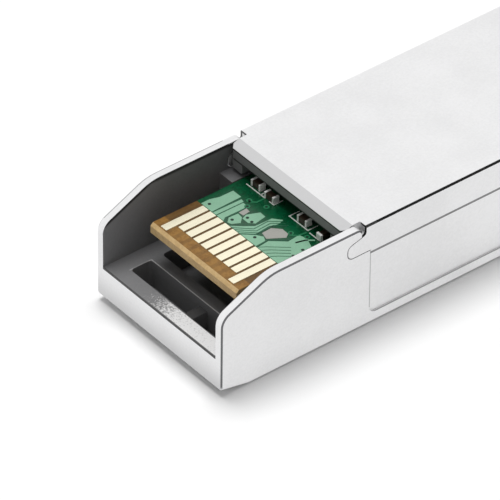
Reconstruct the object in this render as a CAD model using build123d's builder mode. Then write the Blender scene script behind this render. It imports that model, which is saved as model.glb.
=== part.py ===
"""Pluggable optical transceiver module with a card-edge end and two optical ports.

Millimetres. X runs along the module from the card-edge end to the optical end, Y across it and Z up.
The origin is on the resting face, halfway along the housing. The module lies on its closed side, so the
side that faces the host board is up.
"""

import os

from build123d import *

CUT = Mode.SUBTRACT

# Body, as it slides into its cage
body_width = 13.4
body_height = 8.5
stop_past_shoulder = 2.5
nose_length = 9.0
nose_overhang = 0.3
nose_rise = 0.8
edge_break = 0.1
foot_round = 0.3
nose_round = 0.4
port_lead_in = 0.25

# Rear shroud round the card edge
shroud_wall = 0.65
shroud_floor = 3.05
shroud_depth = 9.95
rim_drop = 0.09
rim_knee_drop = 2.03
rim_knee_length = 4.1
rim_knee_radius = 1.1
rim_shoulder_radius = 3.5
ramp_length = 2.4
ramp_height = 0.5
tongue_end = 11.95
tongue_radius = 0.45

# Pockets in the shroud floor
pocket_near_edge = 1.28
pocket_length = 1.74
pocket_side_land = 1.35
pocket_depth = 2.15
pocket_land = 0.95
inner_pocket_length = 4.2
pocket_corner = 0.3
pocket_rib_width = 0.8
pocket_rib_drop = 0.6
pocket_rib_offset = 1.0

# Circuit board and what carries it
board_below_host_face = 2.2
board_thickness = 1.0
board_side_room = 2.1
board_setback = 2.9
board_length = 30.1
board_bevel = 0.22
board_side_gap = 0.1
board_end_gap = 0.4
board_to_header = 3.7
rail_overlap = 0.5
bulkhead_thickness = 1.0
cavity_floor = 1.0

# Card-edge contacts
pad_count = 10
pad_margin = 0.6
pad_share = 0.75
pad_thickness = 0.04
pad_setback = 1.18
pad_end = 3.92
ground_pad_setback = 0.32

# Lid
lid_lip_from_rear = 10.8
lip_length = 0.83
lip_drop = 0.28
lid_plate = 1.14
lid_side_gap = 0.05
parting_gap = 0.06
leg_gap = 0.3
lip_corner = 0.3
lip_round = 0.08
lid_leg = 1.29
hook_reach = 1.56
hook_height = 1.0
hook_root_rise = 0.45
hook_tip_radius = 0.45
hook_root_radius = 0.3

# Recess for a label on one side
recess_depth = 0.12
recess_from_rear = 12.6
recess_length = 24.0
recess_foot = 0.85
recess_corner = 0.7

# Optical ports
port_pitch_share = 0.4664
port_opening_share = 0.3507
port_height_share = 0.5882
port_rise_share = 0.553
port_depth = 7.9
port_corner = 0.3
keyway_width = 3.0
keyway_floor = 0.25
catch_margin = 0.3
catch_from_front = 3.6
catch_length = 1.6

# Optical subassemblies
can_margin = 0.05
can_length = 3.9
can_from_shoulder = 3.5
header_flange = 0.4
header_thickness = 0.9
can_clearance = 0.1
bay_roof_gap = 0.15
pin_circle_share = 0.55
pin_radius = 0.18
pin_length = 0.7
pin_clearance = 0.4
pin_count = 3
pin_hole_gap = 0.04
stub_share = 0.63
stub_clearance = 0.05
stub_length = 7.7
flange_share = 0.76
flange_thickness = 0.8
groove_width = 0.7
groove_share = 0.52
block_grip = 2.44
ferrule_bore_radius = 0.635
ferrule_bore_depth = 4.0
ferrule_lead_in = 0.2
clamp_clearance = 0.05
clamp_side_gap = 0.08
clamp_top_gap = 0.05

# Flexible circuits between the cans and the board
flex_thickness = 0.15
flex_margin = 0.95
flex_overlap = 2.0
flex_bend = 0.6
flex_standoff = 0.25
flex_tail_margin = 0.33

# Chips and small parts on the board
chip_margin = 1.225
chip_height = 0.8
chip_gap = 0.75
controller_size = 5.0
controller_height = 0.9
pad_sheet_margin = 0.2
chip_place = 0.784
controller_place = 0.568
inductor_place = 0.485
small_part_length = 1.0
small_part_width = 0.5
capacitor_height = 0.5
resistor_height = 0.35
inductor_size = 2.0
inductor_height = 0.95
inductor_gap = 1.2
capacitors_across = ((0.27, 0.70), (0.265, 0.35), (0.27, -0.37), (0.34, 0.52), (0.34, -0.09), (0.40, 0.78))
capacitors_along = ((0.272, -0.81), (0.395, -0.74), (0.654, 0.78), (0.654, -0.78))
resistors_across = ((0.315, 0.09), (0.31, -0.61), (0.39, 0.22), (0.63, 0.26), (0.63, -0.26), (0.885, 0.0))
resistors_along = ((0.349, -0.41), (0.588, 0.84), (0.588, -0.84))

# Latch rocker in its channel on the host side
channel_side_wall = 3.55
channel_depth = 1.35
channel_past_shoulder = 0.15
slot_width = 3.0
slot_reach = 3.0
slot_floor_below_host_face = 2.0
port_roof = 0.35
rocker_pin_past_stop = 1.5
rocker_pin_radius = 0.35
rocker_pin_rise = 0.75
rocker_hub_radius = 0.7
rocker_side_gap = 0.3
rocker_running_gap = 0.05
rocker_arm_thickness = 0.5
rocker_arm_sink = 0.2
rocker_rear_reach = 3.2
rocker_tongue_width = 2.6
rocker_front_reach = 6.4
boss_height = 0.45
boss_length = 2.6
boss_flat = 0.8

# Leaf spring under the rocker
spring_thickness = 0.12
spring_width = 2.0
spring_foot = 1.3
spring_foot_gap = 0.2
spring_touch = 1.4
spring_tip = 0.7
spring_bend = 0.6

# Bail
wire_radius = 0.45
bail_pivot_from_front = 2.2
bail_crank = 0.55
crank_half_width = 1.0
crank_slope = 1.2
bail_bend = 0.65
bail_clearance = 0.1
bail_running_gap = 0.05
bail_inset = 0.5
bail_end_gap = 0.06
crossbar_height = 0.5
crossbar_setback = 0.05
bail_cheek_depth = 1.1
sill_height = 1.2

# Shielding collar
collar_thickness = 0.12
collar_recess = 0.2
collar_band = 1.4
collar_from_stop = 0.15
collar_setback = 0.15
finger_length = 4.2
finger_crest = 1.4
finger_gap = 0.5
finger_margin = 0.75
finger_bulge = 0.3
side_fingers = 5
flange_fingers = 2

# Lid screws
screw_from_front = 5.0
screw_inset = 1.35
screw_head_radius = 1.0
screw_head_height = 0.6
screw_sink = 0.15
screw_socket = 0.4
screw_post = 1.8
screw_shank_radius = 0.5
screw_clearance = 0.05
screw_bite = 1.6

# Places along X
header_from_rear = board_setback + board_length + board_to_header
shoulder_from_rear = header_from_rear + header_thickness + can_length + can_from_shoulder
housing_length = shoulder_from_rear + stop_past_shoulder + nose_length
rear = -housing_length / 2
front = housing_length / 2
shoulder_x = rear + shoulder_from_rear
stop_x = shoulder_x + stop_past_shoulder
board_rear = rear + board_setback
board_front = board_rear + board_length
shroud_end = rear + shroud_depth
lip_x = rear + lid_lip_from_rear
notch_x = rear + tongue_end + 0.3
port_back = front - port_depth
pivot_x = front - bail_pivot_from_front
rocker_pin_x = stop_x + rocker_pin_past_stop
crossbar_x = front - wire_radius - crossbar_setback
bulkhead_front = shroud_end + bulkhead_thickness
cavity_front = board_front + board_end_gap
can_front = shoulder_x - can_from_shoulder
block_x = can_front - block_grip
lid_front = block_x - parting_gap
screw_x = lid_front - screw_from_front
header_front = can_front - can_length
header_rear = header_front - header_thickness
bay_rear = header_rear - pin_length - pin_clearance
flange_front = can_front + 2 * flange_thickness + groove_width
slot_end = port_back - port_roof
band_rear = stop_x - collar_from_stop - collar_band
finger_tip = band_rear - finger_length

# Heights
half_width = body_width / 2
inner_half = half_width - shroud_wall
rim_top = body_height - rim_drop
rim_knee_height = body_height - rim_knee_drop
nose_height = body_height + nose_rise
board_top = body_height - board_below_host_face
board_bottom = board_top - board_thickness
parting_z = board_top
lid_underside = body_height - lid_plate
port_height = port_height_share * body_height
port_rise = port_rise_share * body_height
port_top = port_height + port_rise / 2
port_bottom = port_height - port_rise / 2
keyway_depth = port_bottom - sill_height - keyway_floor
nose_channel_floor = port_top + port_roof
channel_floor = body_height - channel_depth
slot_floor = body_height - slot_floor_below_host_face
rocker_pin_z = nose_channel_floor + rocker_pin_rise
rocker_arm_top = body_height - rocker_arm_sink
rocker_arm_bottom = rocker_arm_top - rocker_arm_thickness
boss_top = body_height + boss_height
pivot_z = nose_channel_floor + wire_radius + rocker_running_gap
front_arm_bottom = pivot_z + wire_radius + rocker_running_gap
chip_top = board_top + chip_height
finger_pitch = (body_height - 2 * finger_margin) / side_fingers
finger_width = finger_pitch - finger_gap

# Places across Y
nose_width = body_width + 2 * nose_overhang
board_width = body_width - 2 * board_side_room
rail_half = board_width / 2 + board_side_gap
rail_support_half = board_width / 2 - rail_overlap
pad_pitch = (board_width - 2 * pad_margin) / pad_count
pad_width = pad_share * pad_pitch
pad_places = [pad_pitch * (i - (pad_count - 1) / 2) for i in range(pad_count)]
pocket_half_width = inner_half - pocket_side_land
lid_middle_half = inner_half - lid_side_gap
screw_offset = half_width - screw_inset
port_opening = port_opening_share * body_width
port_y = port_pitch_share * body_width / 2
port_sides = (-1, 1)
catch_width = port_opening - 2 * catch_margin
chip_size = (board_width - chip_gap) / 2 - chip_margin
flex_width = port_opening - 2 * flex_margin
channel_half = half_width - channel_side_wall
rocker_width = 2 * (channel_half - rocker_side_gap)
bail_half_span = nose_width / 2 - bail_inset
bail_cheek = nose_width / 2 - bail_cheek_depth

# Round sizes that follow the ports
can_radius = min(port_opening, port_rise) / 2 - can_margin
header_radius = can_radius + header_flange
pin_circle = pin_circle_share * can_radius
flex_tail = pin_circle + flex_tail_margin
flange_radius = flange_share * can_radius
stub_radius = stub_share * can_radius
groove_radius = groove_share * can_radius
bay_half = port_y + header_radius + can_clearance
bay_floor = port_height - header_radius - can_clearance
bay_roof = port_height + header_radius + can_clearance + bay_roof_gap


def span(low, high):
    """Give the middle and the length of a stretch."""
    return (low + high) / 2, high - low


def block(x_limits, y_limits, z_limits, mode=Mode.ADD):
    """Add a rectangular block to the open part, or cut it out."""
    x_mid, x_size = span(*x_limits)
    y_mid, y_size = span(*y_limits)
    z_mid, z_size = span(*z_limits)
    with Locations((x_mid, y_mid, z_mid)):
        Box(x_size, y_size, z_size, mode=mode)


def rod(start, y, z, radius, length, mode=Mode.ADD):
    """Add a round rod that lies along the module, or bore it out."""
    with Locations(Plane(origin=(start, y, z), z_dir=(1, 0, 0))):
        Cylinder(radius, length, align=(Align.CENTER, Align.CENTER, Align.MIN), mode=mode)


def side_sketch(points):
    """Draw a closed outline in side view from its corners."""
    with BuildSketch(Plane.XZ) as outline:
        with BuildLine():
            Polyline(*points, close=True)
        make_face()
    return outline.sketch


def lid_side_outline(grow):
    """Draw the lid in side view with its hook nose, grown by a gap for the seat in the base."""
    foot_z = parting_z + parting_gap
    root_z = foot_z + hook_height + hook_root_rise
    hook_tip = notch_x - hook_reach
    with BuildSketch(Plane.XZ) as outline:
        with BuildLine():
            Polyline(
                (notch_x, root_z),
                (notch_x, body_height),
                (lid_front, body_height),
                (lid_front, foot_z),
                (hook_tip, foot_z),
                (hook_tip, foot_z + hook_height),
                close=True,
            )
        make_face()
        for tip_z in (foot_z, foot_z + hook_height):
            fillet(outline.vertices().sort_by_distance((hook_tip, tip_z))[0], hook_tip_radius)
        fillet(outline.vertices().sort_by_distance((notch_x, root_z))[0], hook_root_radius)
        if grow > 0:
            offset(amount=grow, kind=Kind.INTERSECTION)
    return outline.sketch


def base_side_outline():
    """Draw the body of the base in side view, from the ramp at its rear foot to the stop."""
    knee = (rear, rim_knee_height)
    shoulder = (rear + rim_knee_length, rim_top)
    tongue = (rear + tongue_end, rim_top)
    with BuildSketch(Plane.XZ) as outline:
        with BuildLine():
            Polyline(
                (rear + ramp_length, 0),
                (stop_x, 0),
                (stop_x, body_height),
                (block_x, body_height),
                (block_x, parting_z),
                (rear + tongue_end, parting_z),
                (rear + tongue_end, rim_top),
                (rear + rim_knee_length, rim_top),
                (rear, rim_knee_height),
                (rear, ramp_height),
                close=True,
            )
        make_face()
        fillet(outline.vertices().sort_by_distance(knee)[0], rim_knee_radius)
        fillet(outline.vertices().sort_by_distance(shoulder)[0], rim_shoulder_radius)
        fillet(outline.vertices().sort_by_distance(tongue)[0], tongue_radius)
    return outline.sketch


def cheek_outline():
    """Draw what the bail's arms sweep through beside the nose, from closed to open."""
    room = wire_radius + bail_clearance + edge_break
    return side_sketch([
        (pivot_x - room, nose_height + 1),
        (pivot_x - room, pivot_z),
        (crossbar_x - room, crossbar_height),
        (crossbar_x - room, -1),
        (front + 1, -1),
        (front + 1, nose_height + 1),
    ])


def sprung_finger(plane, surface):
    """Make one sprung finger that stands out from a surface and comes back to it."""
    root = band_rear + collar_thickness
    crest = finger_tip + finger_crest
    top = surface + collar_thickness
    with BuildSketch(plane) as outline:
        with BuildLine():
            Polyline(
                (root, surface),
                (crest, surface + finger_bulge),
                (finger_tip, surface),
                (finger_tip, top),
                (crest, top + finger_bulge),
                (root, top),
                close=True,
            )
        make_face()
    return extrude(outline.sketch, amount=finger_width / 2, both=True, mode=Mode.PRIVATE)


def strip_outline(points, bend, thickness):
    """Draw a bent strip edge on, lying above or ahead of the line through its corners."""
    with BuildSketch(Plane.XZ) as outline:
        with BuildLine():
            FilletPolyline(*points, radius=bend)
            offset(amount=thickness, side=Side.LEFT)
        make_face()
    return outline.sketch


def along_board(share):
    """Give the place along the module at a share of the board's length."""
    return board_rear + share * board_length


def plan_places(places):
    """Turn shares of the board's length and half width into places on its top face."""
    half_board = board_width / 2
    return [(along_board(along), across * half_board, board_top) for along, across in places]


# Die-cast base: shroud, rails, optics block and nose
with BuildPart() as housing_base:
    extrude(base_side_outline(), amount=half_width, both=True)
    side_edges = housing_base.edges().group_by(Axis.Y)[-1] + housing_base.edges().group_by(Axis.Y)[0]
    fillet(side_edges.filter_by_position(Axis.Z, -0.01, ramp_height), foot_round)
    side_edges = housing_base.edges().group_by(Axis.Y)[-1] + housing_base.edges().group_by(Axis.Y)[0]
    rear_edges = housing_base.faces().sort_by(Axis.X)[0].edges()
    rear_edges = rear_edges.filter_by_position(Axis.Z, 0, rim_knee_height - rim_knee_radius)
    rim_edges = side_edges.filter_by_position(Axis.Z, foot_round + edge_break, body_height)
    rim_edges = rim_edges.filter_by_position(Axis.X, rear - 0.01, rear + tongue_end - 1.1 * tongue_radius)
    chamfer(rim_edges.filter_by(lambda edge: edge not in rear_edges) + rear_edges, edge_break)
    with BuildSketch(Plane.YZ.offset(stop_x)) as nose_section:
        with Locations((0, nose_height / 2)):
            Rectangle(nose_width, nose_height)
        fillet(nose_section.vertices().group_by(Axis.Y)[-1], nose_round)
    extrude(amount=nose_length)

    # Seat of the lid's side strips and hooks
    extrude(lid_side_outline(parting_gap), amount=half_width + 1, both=True, mode=CUT)

    # Shroud: open to the rear and the top, and open above the rails under the lid's rear part
    block((rear - 1, shroud_end), (-inner_half, inner_half), (shroud_floor, body_height + 1), CUT)
    block((shroud_end - 1, notch_x + 1), (-inner_half, inner_half), (parting_z, body_height + 1), CUT)

    # Pockets in the shroud floor, the far one running in under the board
    near_pocket = (rear + pocket_near_edge, rear + pocket_near_edge + pocket_length)
    far_pocket = (near_pocket[1] + pocket_land, near_pocket[1] + pocket_land + inner_pocket_length)
    for pocket_x in (near_pocket, far_pocket):
        middle, length = span(*pocket_x)
        with BuildSketch(Plane.XY.offset(shroud_floor)) as pocket:
            with Locations((middle, 0)):
                RectangleRounded(length, 2 * pocket_half_width, pocket_corner)
        extrude(amount=-pocket_depth, mode=CUT)
    rib_y = (-pocket_rib_offset - pocket_rib_width / 2, -pocket_rib_offset + pocket_rib_width / 2)
    block(near_pocket, rib_y, (shroud_floor - pocket_depth, shroud_floor - pocket_rib_drop))

    # Cavity under the board between the rails, closed to the shroud by a bulkhead
    support_y = (-rail_support_half, rail_support_half)
    block((bulkhead_front, cavity_front), support_y, (cavity_floor, board_bottom), CUT)
    block((shroud_end - 1, cavity_front), (-rail_half, rail_half), (board_bottom, parting_z + 1), CUT)

    # Bay for the headers and the clamp, with a way through to the board
    block((bay_rear, block_x), (-bay_half, bay_half), (bay_floor, body_height + 1), CUT)
    block((cavity_front - 1, bay_rear + 1), support_y, (bay_floor, parting_z + 1), CUT)

    # Two bores ahead of the bay, stepped for the cans, the flanges and the stubs
    for side in port_sides:
        can_bore = can_front + can_clearance - block_x + 1
        flange_bore = flange_front + can_clearance - block_x + 1
        rod(block_x - 1, side * port_y, port_height, can_radius + can_clearance, can_bore, CUT)
        rod(block_x - 1, side * port_y, port_height, flange_radius + can_clearance, flange_bore, CUT)
        stub_bore = port_back - can_front + 1
        rod(can_front, side * port_y, port_height, stub_radius + stub_clearance, stub_bore, CUT)

    # Optical ports, each with a keyway on the label side and catches for a plug's latch
    keyway_z = port_bottom - (keyway_depth - port_corner) / 2
    keyway_height = keyway_depth + port_corner
    for side in port_sides:
        with BuildSketch(Plane.YZ.offset(front)) as port:
            with Locations((side * port_y, port_height)):
                RectangleRounded(port_opening, port_rise, port_corner)
            with Locations((side * port_y, keyway_z)):
                Rectangle(keyway_width, keyway_height)
        extrude(amount=-port_depth, mode=CUT)
        with BuildSketch(Plane.YZ.offset(front)) as mouth:
            with Locations((side * port_y, port_height)):
                Rectangle(port_opening + 2 * port_lead_in, port_rise + 2 * port_lead_in)
        extrude(amount=-port_lead_in, taper=45, mode=CUT)
        with BuildSketch(Plane.YZ.offset(front - catch_from_front)) as catch:
            with Locations((side * port_y, keyway_z)):
                Rectangle(catch_width, keyway_height)
        extrude(amount=-catch_length, mode=CUT)

    # Latch channel, deeper along the middle for the rocker's tongue and its spring
    channel_y = (-channel_half, channel_half)
    slot_y = (-slot_width / 2, slot_width / 2)
    channel_rear = shoulder_x + channel_past_shoulder
    block((channel_rear, slot_end), channel_y, (channel_floor, nose_height + 1), CUT)
    block((channel_rear, front + 1), channel_y, (nose_channel_floor, nose_height + 1), CUT)
    block((shoulder_x - slot_reach, slot_end), slot_y, (slot_floor, nose_height + 1), CUT)
    with Locations(Plane(origin=(rocker_pin_x, 0, rocker_pin_z), z_dir=(0, 1, 0))):
        Cylinder(rocker_pin_radius, nose_width + 1, mode=CUT)

    # Pivot holes for the bail, cheeks for its arms and a sill for its crossbar
    with Locations(Plane(origin=(pivot_x, 0, pivot_z), z_dir=(0, 1, 0))):
        Cylinder(wire_radius + bail_running_gap, nose_width + 1, mode=CUT)
    cheek_cut = nose_width / 2 - bail_cheek + 1
    with Locations((0, bail_cheek + cheek_cut / 2, 0), (0, -bail_cheek - cheek_cut / 2, 0)):
        add(extrude(cheek_outline(), amount=cheek_cut / 2, both=True, mode=Mode.PRIVATE), mode=CUT)
    sill_x = crossbar_x - wire_radius - bail_clearance
    block((sill_x, front + 1), (-nose_width, nose_width), (-1, sill_height), CUT)

    # Shallow seat for the shielding collar round the body
    with BuildSketch(Plane.YZ.offset(stop_x)) as collar_seat:
        with Locations((0, body_height / 2)):
            Rectangle(body_width + 2, body_height + 2)
            Rectangle(body_width - 2 * collar_recess, body_height - 2 * collar_recess, mode=CUT)
    extrude(amount=finger_tip - collar_recess - stop_x, mode=CUT)

    # Recess on one side below the lid
    with BuildSketch(Plane.XZ.offset(half_width)) as side_recess:
        with Locations((rear + recess_from_rear + recess_length / 2, (recess_foot + parting_z) / 2)):
            Rectangle(recess_length, parting_z - recess_foot)
        fillet(side_recess.vertices().group_by(Axis.Y)[0], recess_corner)
    extrude(amount=-recess_depth, mode=CUT)

    # Holes for the lid screws, with room for their heads below
    for side in port_sides:
        head_room = screw_head_radius + screw_clearance
        with Locations((screw_x, side * screw_offset, 0)):
            Cylinder(head_room, 2 * (screw_sink + screw_head_height), mode=CUT)
            Cylinder(screw_shank_radius + screw_clearance, 2 * parting_z + 1, mode=CUT)
    housing_base.part.label = "housing_base"

# Lid: side strips with hook noses, a middle part between the shroud walls, legs and screw posts
with BuildPart() as lid:
    extrude(lid_side_outline(0), amount=half_width, both=True)
    long_edges = lid.edges().filter_by(Axis.X).group_by(Axis.Z)[-1]
    chamfer(long_edges, edge_break)
    middle_y = (-lid_middle_half, lid_middle_half)
    block((rear, notch_x), (-inner_half, inner_half), (0, body_height + 1), CUT)
    leg_foot = parting_z + leg_gap
    extrude(side_sketch([
        (lip_x, leg_foot),
        (notch_x + 1, leg_foot),
        (notch_x + 1, body_height),
        (lip_x + lip_length, body_height),
        (lip_x, body_height - lip_drop),
    ]), amount=lid_middle_half, both=True)
    lip_corners = lid.edges().filter_by(Axis.Z).filter_by_position(Axis.X, lip_x - 0.01, lip_x + 0.01)
    chamfer(lip_corners, lip_corner)

    # Hollow over the board, between the legs, and the roof of the bay
    window_half = lid_middle_half - lid_leg
    block((lip_x - 1, lid_front - 1), (-window_half, window_half), (0, lid_underside), CUT)
    block((notch_x - 1, lid_front + 1), (-inner_half, inner_half), (0, leg_foot), CUT)
    block((bay_rear - parting_gap, lid_front + 1), (-bay_half, bay_half), (0, bay_roof), CUT)
    for side in port_sides:
        post_y = sorted((side * window_half, side * lid_middle_half))
        block((screw_x - screw_post / 2, screw_x + screw_post / 2), post_y, (parting_z, leg_foot + 0.1))
        with Locations((screw_x, side * screw_offset, 0)):
            Cylinder(screw_shank_radius, 2 * (parting_z + screw_bite), mode=CUT)
    lid.part.label = "lid"

with BuildPart() as lid_screws:
    for side in port_sides:
        with Locations((screw_x, side * screw_offset, screw_sink)):
            Cylinder(screw_head_radius, screw_head_height, align=(Align.CENTER, Align.CENTER, Align.MIN))
            shank = parting_z + screw_bite - screw_sink
            Cylinder(screw_shank_radius, shank, align=(Align.CENTER, Align.CENTER, Align.MIN))
        with BuildSketch(Plane.XY.offset(screw_sink)) as socket:
            with Locations((screw_x, side * screw_offset)):
                RegularPolygon(screw_socket, 6)
        extrude(amount=screw_socket, mode=CUT)
    lid_screws.part.label = "lid_screws"

# Circuit board with bevelled edges where it enters a connector
with BuildPart() as circuit_board:
    block((board_rear, board_front), (-board_width / 2, board_width / 2), (board_bottom, board_top))
    chamfer(circuit_board.faces().sort_by(Axis.X)[0].edges().filter_by(Axis.Y), board_bevel)
    circuit_board.part.label = "circuit_board"


def contact_pads(low_z):
    """Lay one row of contacts, the two ground contacts reaching further back than the rest."""
    for place in pad_places:
        is_ground = place in (pad_places[0], pad_places[-1])
        start = board_rear + (ground_pad_setback if is_ground else pad_setback)
        pad_y = (place - pad_width / 2, place + pad_width / 2)
        block((start, board_rear + pad_end), pad_y, (low_z, low_z + pad_thickness))


with BuildPart() as contact_pads_top:
    contact_pads(board_top)
    contact_pads_top.part.label = "contact_pads_top"

with BuildPart() as contact_pads_bottom:
    contact_pads(board_bottom - pad_thickness)
    contact_pads_bottom.part.label = "contact_pads_bottom"

# Chips on the board and the soft sheet that takes their heat to the lid
chip_x = along_board(chip_place)
chip_y = (chip_gap + chip_size) / 2
on_board = (Align.CENTER, Align.CENTER, Align.MIN)
under_board = (Align.CENTER, Align.CENTER, Align.MAX)
with BuildPart() as driver_chip:
    with Locations((chip_x, chip_y, board_top)):
        Box(chip_size, chip_size, chip_height, align=on_board)
    driver_chip.part.label = "driver_chip"

with BuildPart() as amplifier_chip:
    with Locations((chip_x, -chip_y, board_top)):
        Box(chip_size, chip_size, chip_height, align=on_board)
    amplifier_chip.part.label = "amplifier_chip"

with BuildPart() as controller_chip:
    with Locations((along_board(controller_place), 0, board_bottom)):
        Box(controller_size, controller_size, controller_height, align=under_board)
    controller_chip.part.label = "controller_chip"

with BuildPart() as thermal_pad:
    sheet_length = chip_size - pad_sheet_margin
    sheet_width = 2 * chip_size + chip_gap - pad_sheet_margin
    with Locations((chip_x, 0, chip_top)):
        Box(sheet_length, sheet_width, lid_underside - chip_top, align=on_board)
    thermal_pad.part.label = "thermal_pad"

with BuildPart() as chip_capacitors:
    with Locations(*plan_places(capacitors_across)):
        Box(small_part_width, small_part_length, capacitor_height, align=on_board)
    with Locations(*plan_places(capacitors_along)):
        Box(small_part_length, small_part_width, capacitor_height, align=on_board)
    chip_capacitors.part.label = "chip_capacitors"

with BuildPart() as chip_resistors:
    with Locations(*plan_places(resistors_across)):
        Box(small_part_width, small_part_length, resistor_height, align=on_board)
    with Locations(*plan_places(resistors_along)):
        Box(small_part_length, small_part_width, resistor_height, align=on_board)
    chip_resistors.part.label = "chip_resistors"

with BuildPart() as power_inductors:
    inductor_x = along_board(inductor_place)
    inductor_y = (inductor_gap + inductor_size) / 2
    with Locations((inductor_x, inductor_y, board_top), (inductor_x, -inductor_y, board_top)):
        Box(inductor_size, inductor_size, inductor_height, align=on_board)
    power_inductors.part.label = "power_inductors"


def optical_can(y):
    """Build a can on its round header, with its pins out of the back."""
    rod(header_front, y, port_height, can_radius, can_length)
    rod(header_rear, y, port_height, header_radius, header_thickness)
    with Locations(Plane(origin=(header_rear, y, port_height), z_dir=(-1, 0, 0))):
        with PolarLocations(pin_circle, pin_count, start_angle=90):
            Cylinder(pin_radius, pin_length, align=(Align.CENTER, Align.CENTER, Align.MIN))


def optical_barrel(y):
    """Build a barrel with two flanges and a stub that holds the plug's ferrule."""
    rod(can_front, y, port_height, flange_radius, flange_thickness)
    rod(can_front, y, port_height, groove_radius, 2 * flange_thickness + groove_width)
    rod(flange_front - flange_thickness, y, port_height, flange_radius, flange_thickness)
    rod(flange_front, y, port_height, stub_radius, stub_length)
    tip = flange_front + stub_length
    rod(tip - ferrule_bore_depth, y, port_height, ferrule_bore_radius, ferrule_bore_depth, CUT)


def optical_flex(y):
    """Bend a flexible circuit from the board's top face down behind a can, with holes for its pins."""
    fold_x = header_rear - flex_standoff
    tail_z = port_height - flex_tail
    ribbon = strip_outline([
        (board_front - flex_overlap, board_top),
        (fold_x - flex_thickness, board_top),
        (fold_x - flex_thickness, tail_z),
    ], flex_bend, flex_thickness)
    with Locations((0, y, 0)):
        add(extrude(ribbon, amount=flex_width / 2, both=True, mode=Mode.PRIVATE))
    with Locations(Plane(origin=(header_rear, y, port_height), z_dir=(-1, 0, 0))):
        with PolarLocations(pin_circle, pin_count, start_angle=90):
            Cylinder(pin_radius + pin_hole_gap, 2 * pin_length, mode=CUT)


with BuildPart() as transmitter_can:
    optical_can(port_y)
    transmitter_can.part.label = "transmitter_can"

with BuildPart() as receiver_can:
    optical_can(-port_y)
    receiver_can.part.label = "receiver_can"

with BuildPart() as transmitter_barrel:
    optical_barrel(port_y)
    transmitter_barrel.part.label = "transmitter_barrel"

with BuildPart() as receiver_barrel:
    optical_barrel(-port_y)
    receiver_barrel.part.label = "receiver_barrel"

with BuildPart() as transmitter_flex:
    optical_flex(port_y)
    transmitter_flex.part.label = "transmitter_flex"

with BuildPart() as receiver_flex:
    optical_flex(-port_y)
    receiver_flex.part.label = "receiver_flex"

# Clamp that drops over both cans, between their headers and the optics block
with BuildPart() as optics_clamp:
    clamp_floor = bay_floor + clamp_clearance
    clamp_y = (clamp_side_gap - bay_half, bay_half - clamp_side_gap)
    block((header_front, block_x), clamp_y, (clamp_floor, bay_roof - clamp_top_gap))
    for side in port_sides:
        slot_radius = can_radius + clamp_clearance
        rod(header_front - 1, side * port_y, port_height, slot_radius, block_x - header_front + 2, CUT)
        open_y = (side * port_y - slot_radius, side * port_y + slot_radius)
        block((header_front - 1, block_x + 1), open_y, (0, port_height), CUT)
    optics_clamp.part.label = "optics_clamp"

# Sprung collar: a band round three sides and over the edges of the fourth, with fingers to the rear
with BuildPart() as emi_collar:
    seat_half = half_width - collar_recess
    seat_top = body_height - collar_recess
    with BuildSketch(Plane.YZ.offset(band_rear)) as band:
        with Locations((0, body_height / 2)):
            Rectangle(2 * (seat_half + collar_thickness), seat_top - collar_recess + 2 * collar_thickness)
            Rectangle(2 * seat_half, seat_top - collar_recess, mode=CUT)
        with Locations((0, seat_top)):
            Rectangle(2 * (channel_half + collar_setback), 1, mode=CUT)
    extrude(amount=collar_band)
    for i in range(side_fingers):
        finger_z = body_height / 2 + (i - (side_fingers - 1) / 2) * finger_pitch
        with Locations((0, 0, finger_z)):
            add(sprung_finger(Plane.XY, seat_half))
    for i in range(flange_fingers):
        finger_y = seat_half - finger_width / 2 - i * finger_pitch
        with Locations((0, finger_y, 0)):
            add(sprung_finger(Plane.XZ, seat_top))
    mirror(about=Plane.XZ)
    emi_collar.part.label = "emi_collar"

# Rocker that carries the latch boss, on its pin
with BuildPart() as latch_rocker:
    with Locations(Plane(origin=(rocker_pin_x, 0, rocker_pin_z), z_dir=(0, 1, 0))):
        Cylinder(rocker_hub_radius, rocker_width)
    rocker_y = (-rocker_width / 2, rocker_width / 2)
    arm_z = (rocker_arm_bottom, rocker_arm_top)
    front_arm_z = (front_arm_bottom, nose_height)
    block((rocker_pin_x - rocker_rear_reach, rocker_pin_x), rocker_y, arm_z)
    block((rocker_pin_x, rocker_pin_x + rocker_front_reach), rocker_y, front_arm_z)
    tongue_rear = shoulder_x - boss_length
    tongue_y = (-rocker_tongue_width / 2, rocker_tongue_width / 2)
    block((tongue_rear, rocker_pin_x - rocker_rear_reach), tongue_y, arm_z)
    extrude(side_sketch([
        (shoulder_x, rocker_arm_bottom),
        (shoulder_x, boss_top),
        (shoulder_x - boss_flat, boss_top),
        (tongue_rear, rocker_arm_top),
        (tongue_rear, rocker_arm_bottom),
    ]), amount=rocker_tongue_width / 2, both=True)
    with Locations(Plane(origin=(rocker_pin_x, 0, rocker_pin_z), z_dir=(0, 1, 0))):
        Cylinder(rocker_pin_radius + rocker_running_gap, rocker_width + 1, mode=CUT)
    latch_rocker.part.label = "latch_rocker"

with BuildPart() as rocker_pin:
    with Locations(Plane(origin=(rocker_pin_x, 0, rocker_pin_z), z_dir=(0, 1, 0))):
        Cylinder(rocker_pin_radius, nose_width - 2 * edge_break)
    rocker_pin.part.label = "rocker_pin"

# Leaf spring from the slot's floor up to the rocker's tongue
with BuildPart() as latch_spring:
    foot_front = slot_end - spring_foot_gap
    contact_z = rocker_arm_bottom - spring_thickness
    touch_x = shoulder_x - spring_touch
    extrude(strip_outline([
        (touch_x - spring_tip, contact_z),
        (touch_x, contact_z),
        (foot_front - spring_foot, slot_floor),
        (foot_front, slot_floor),
    ], spring_bend, spring_thickness), amount=spring_width / 2, both=True)
    latch_spring.part.label = "latch_spring"

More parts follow.
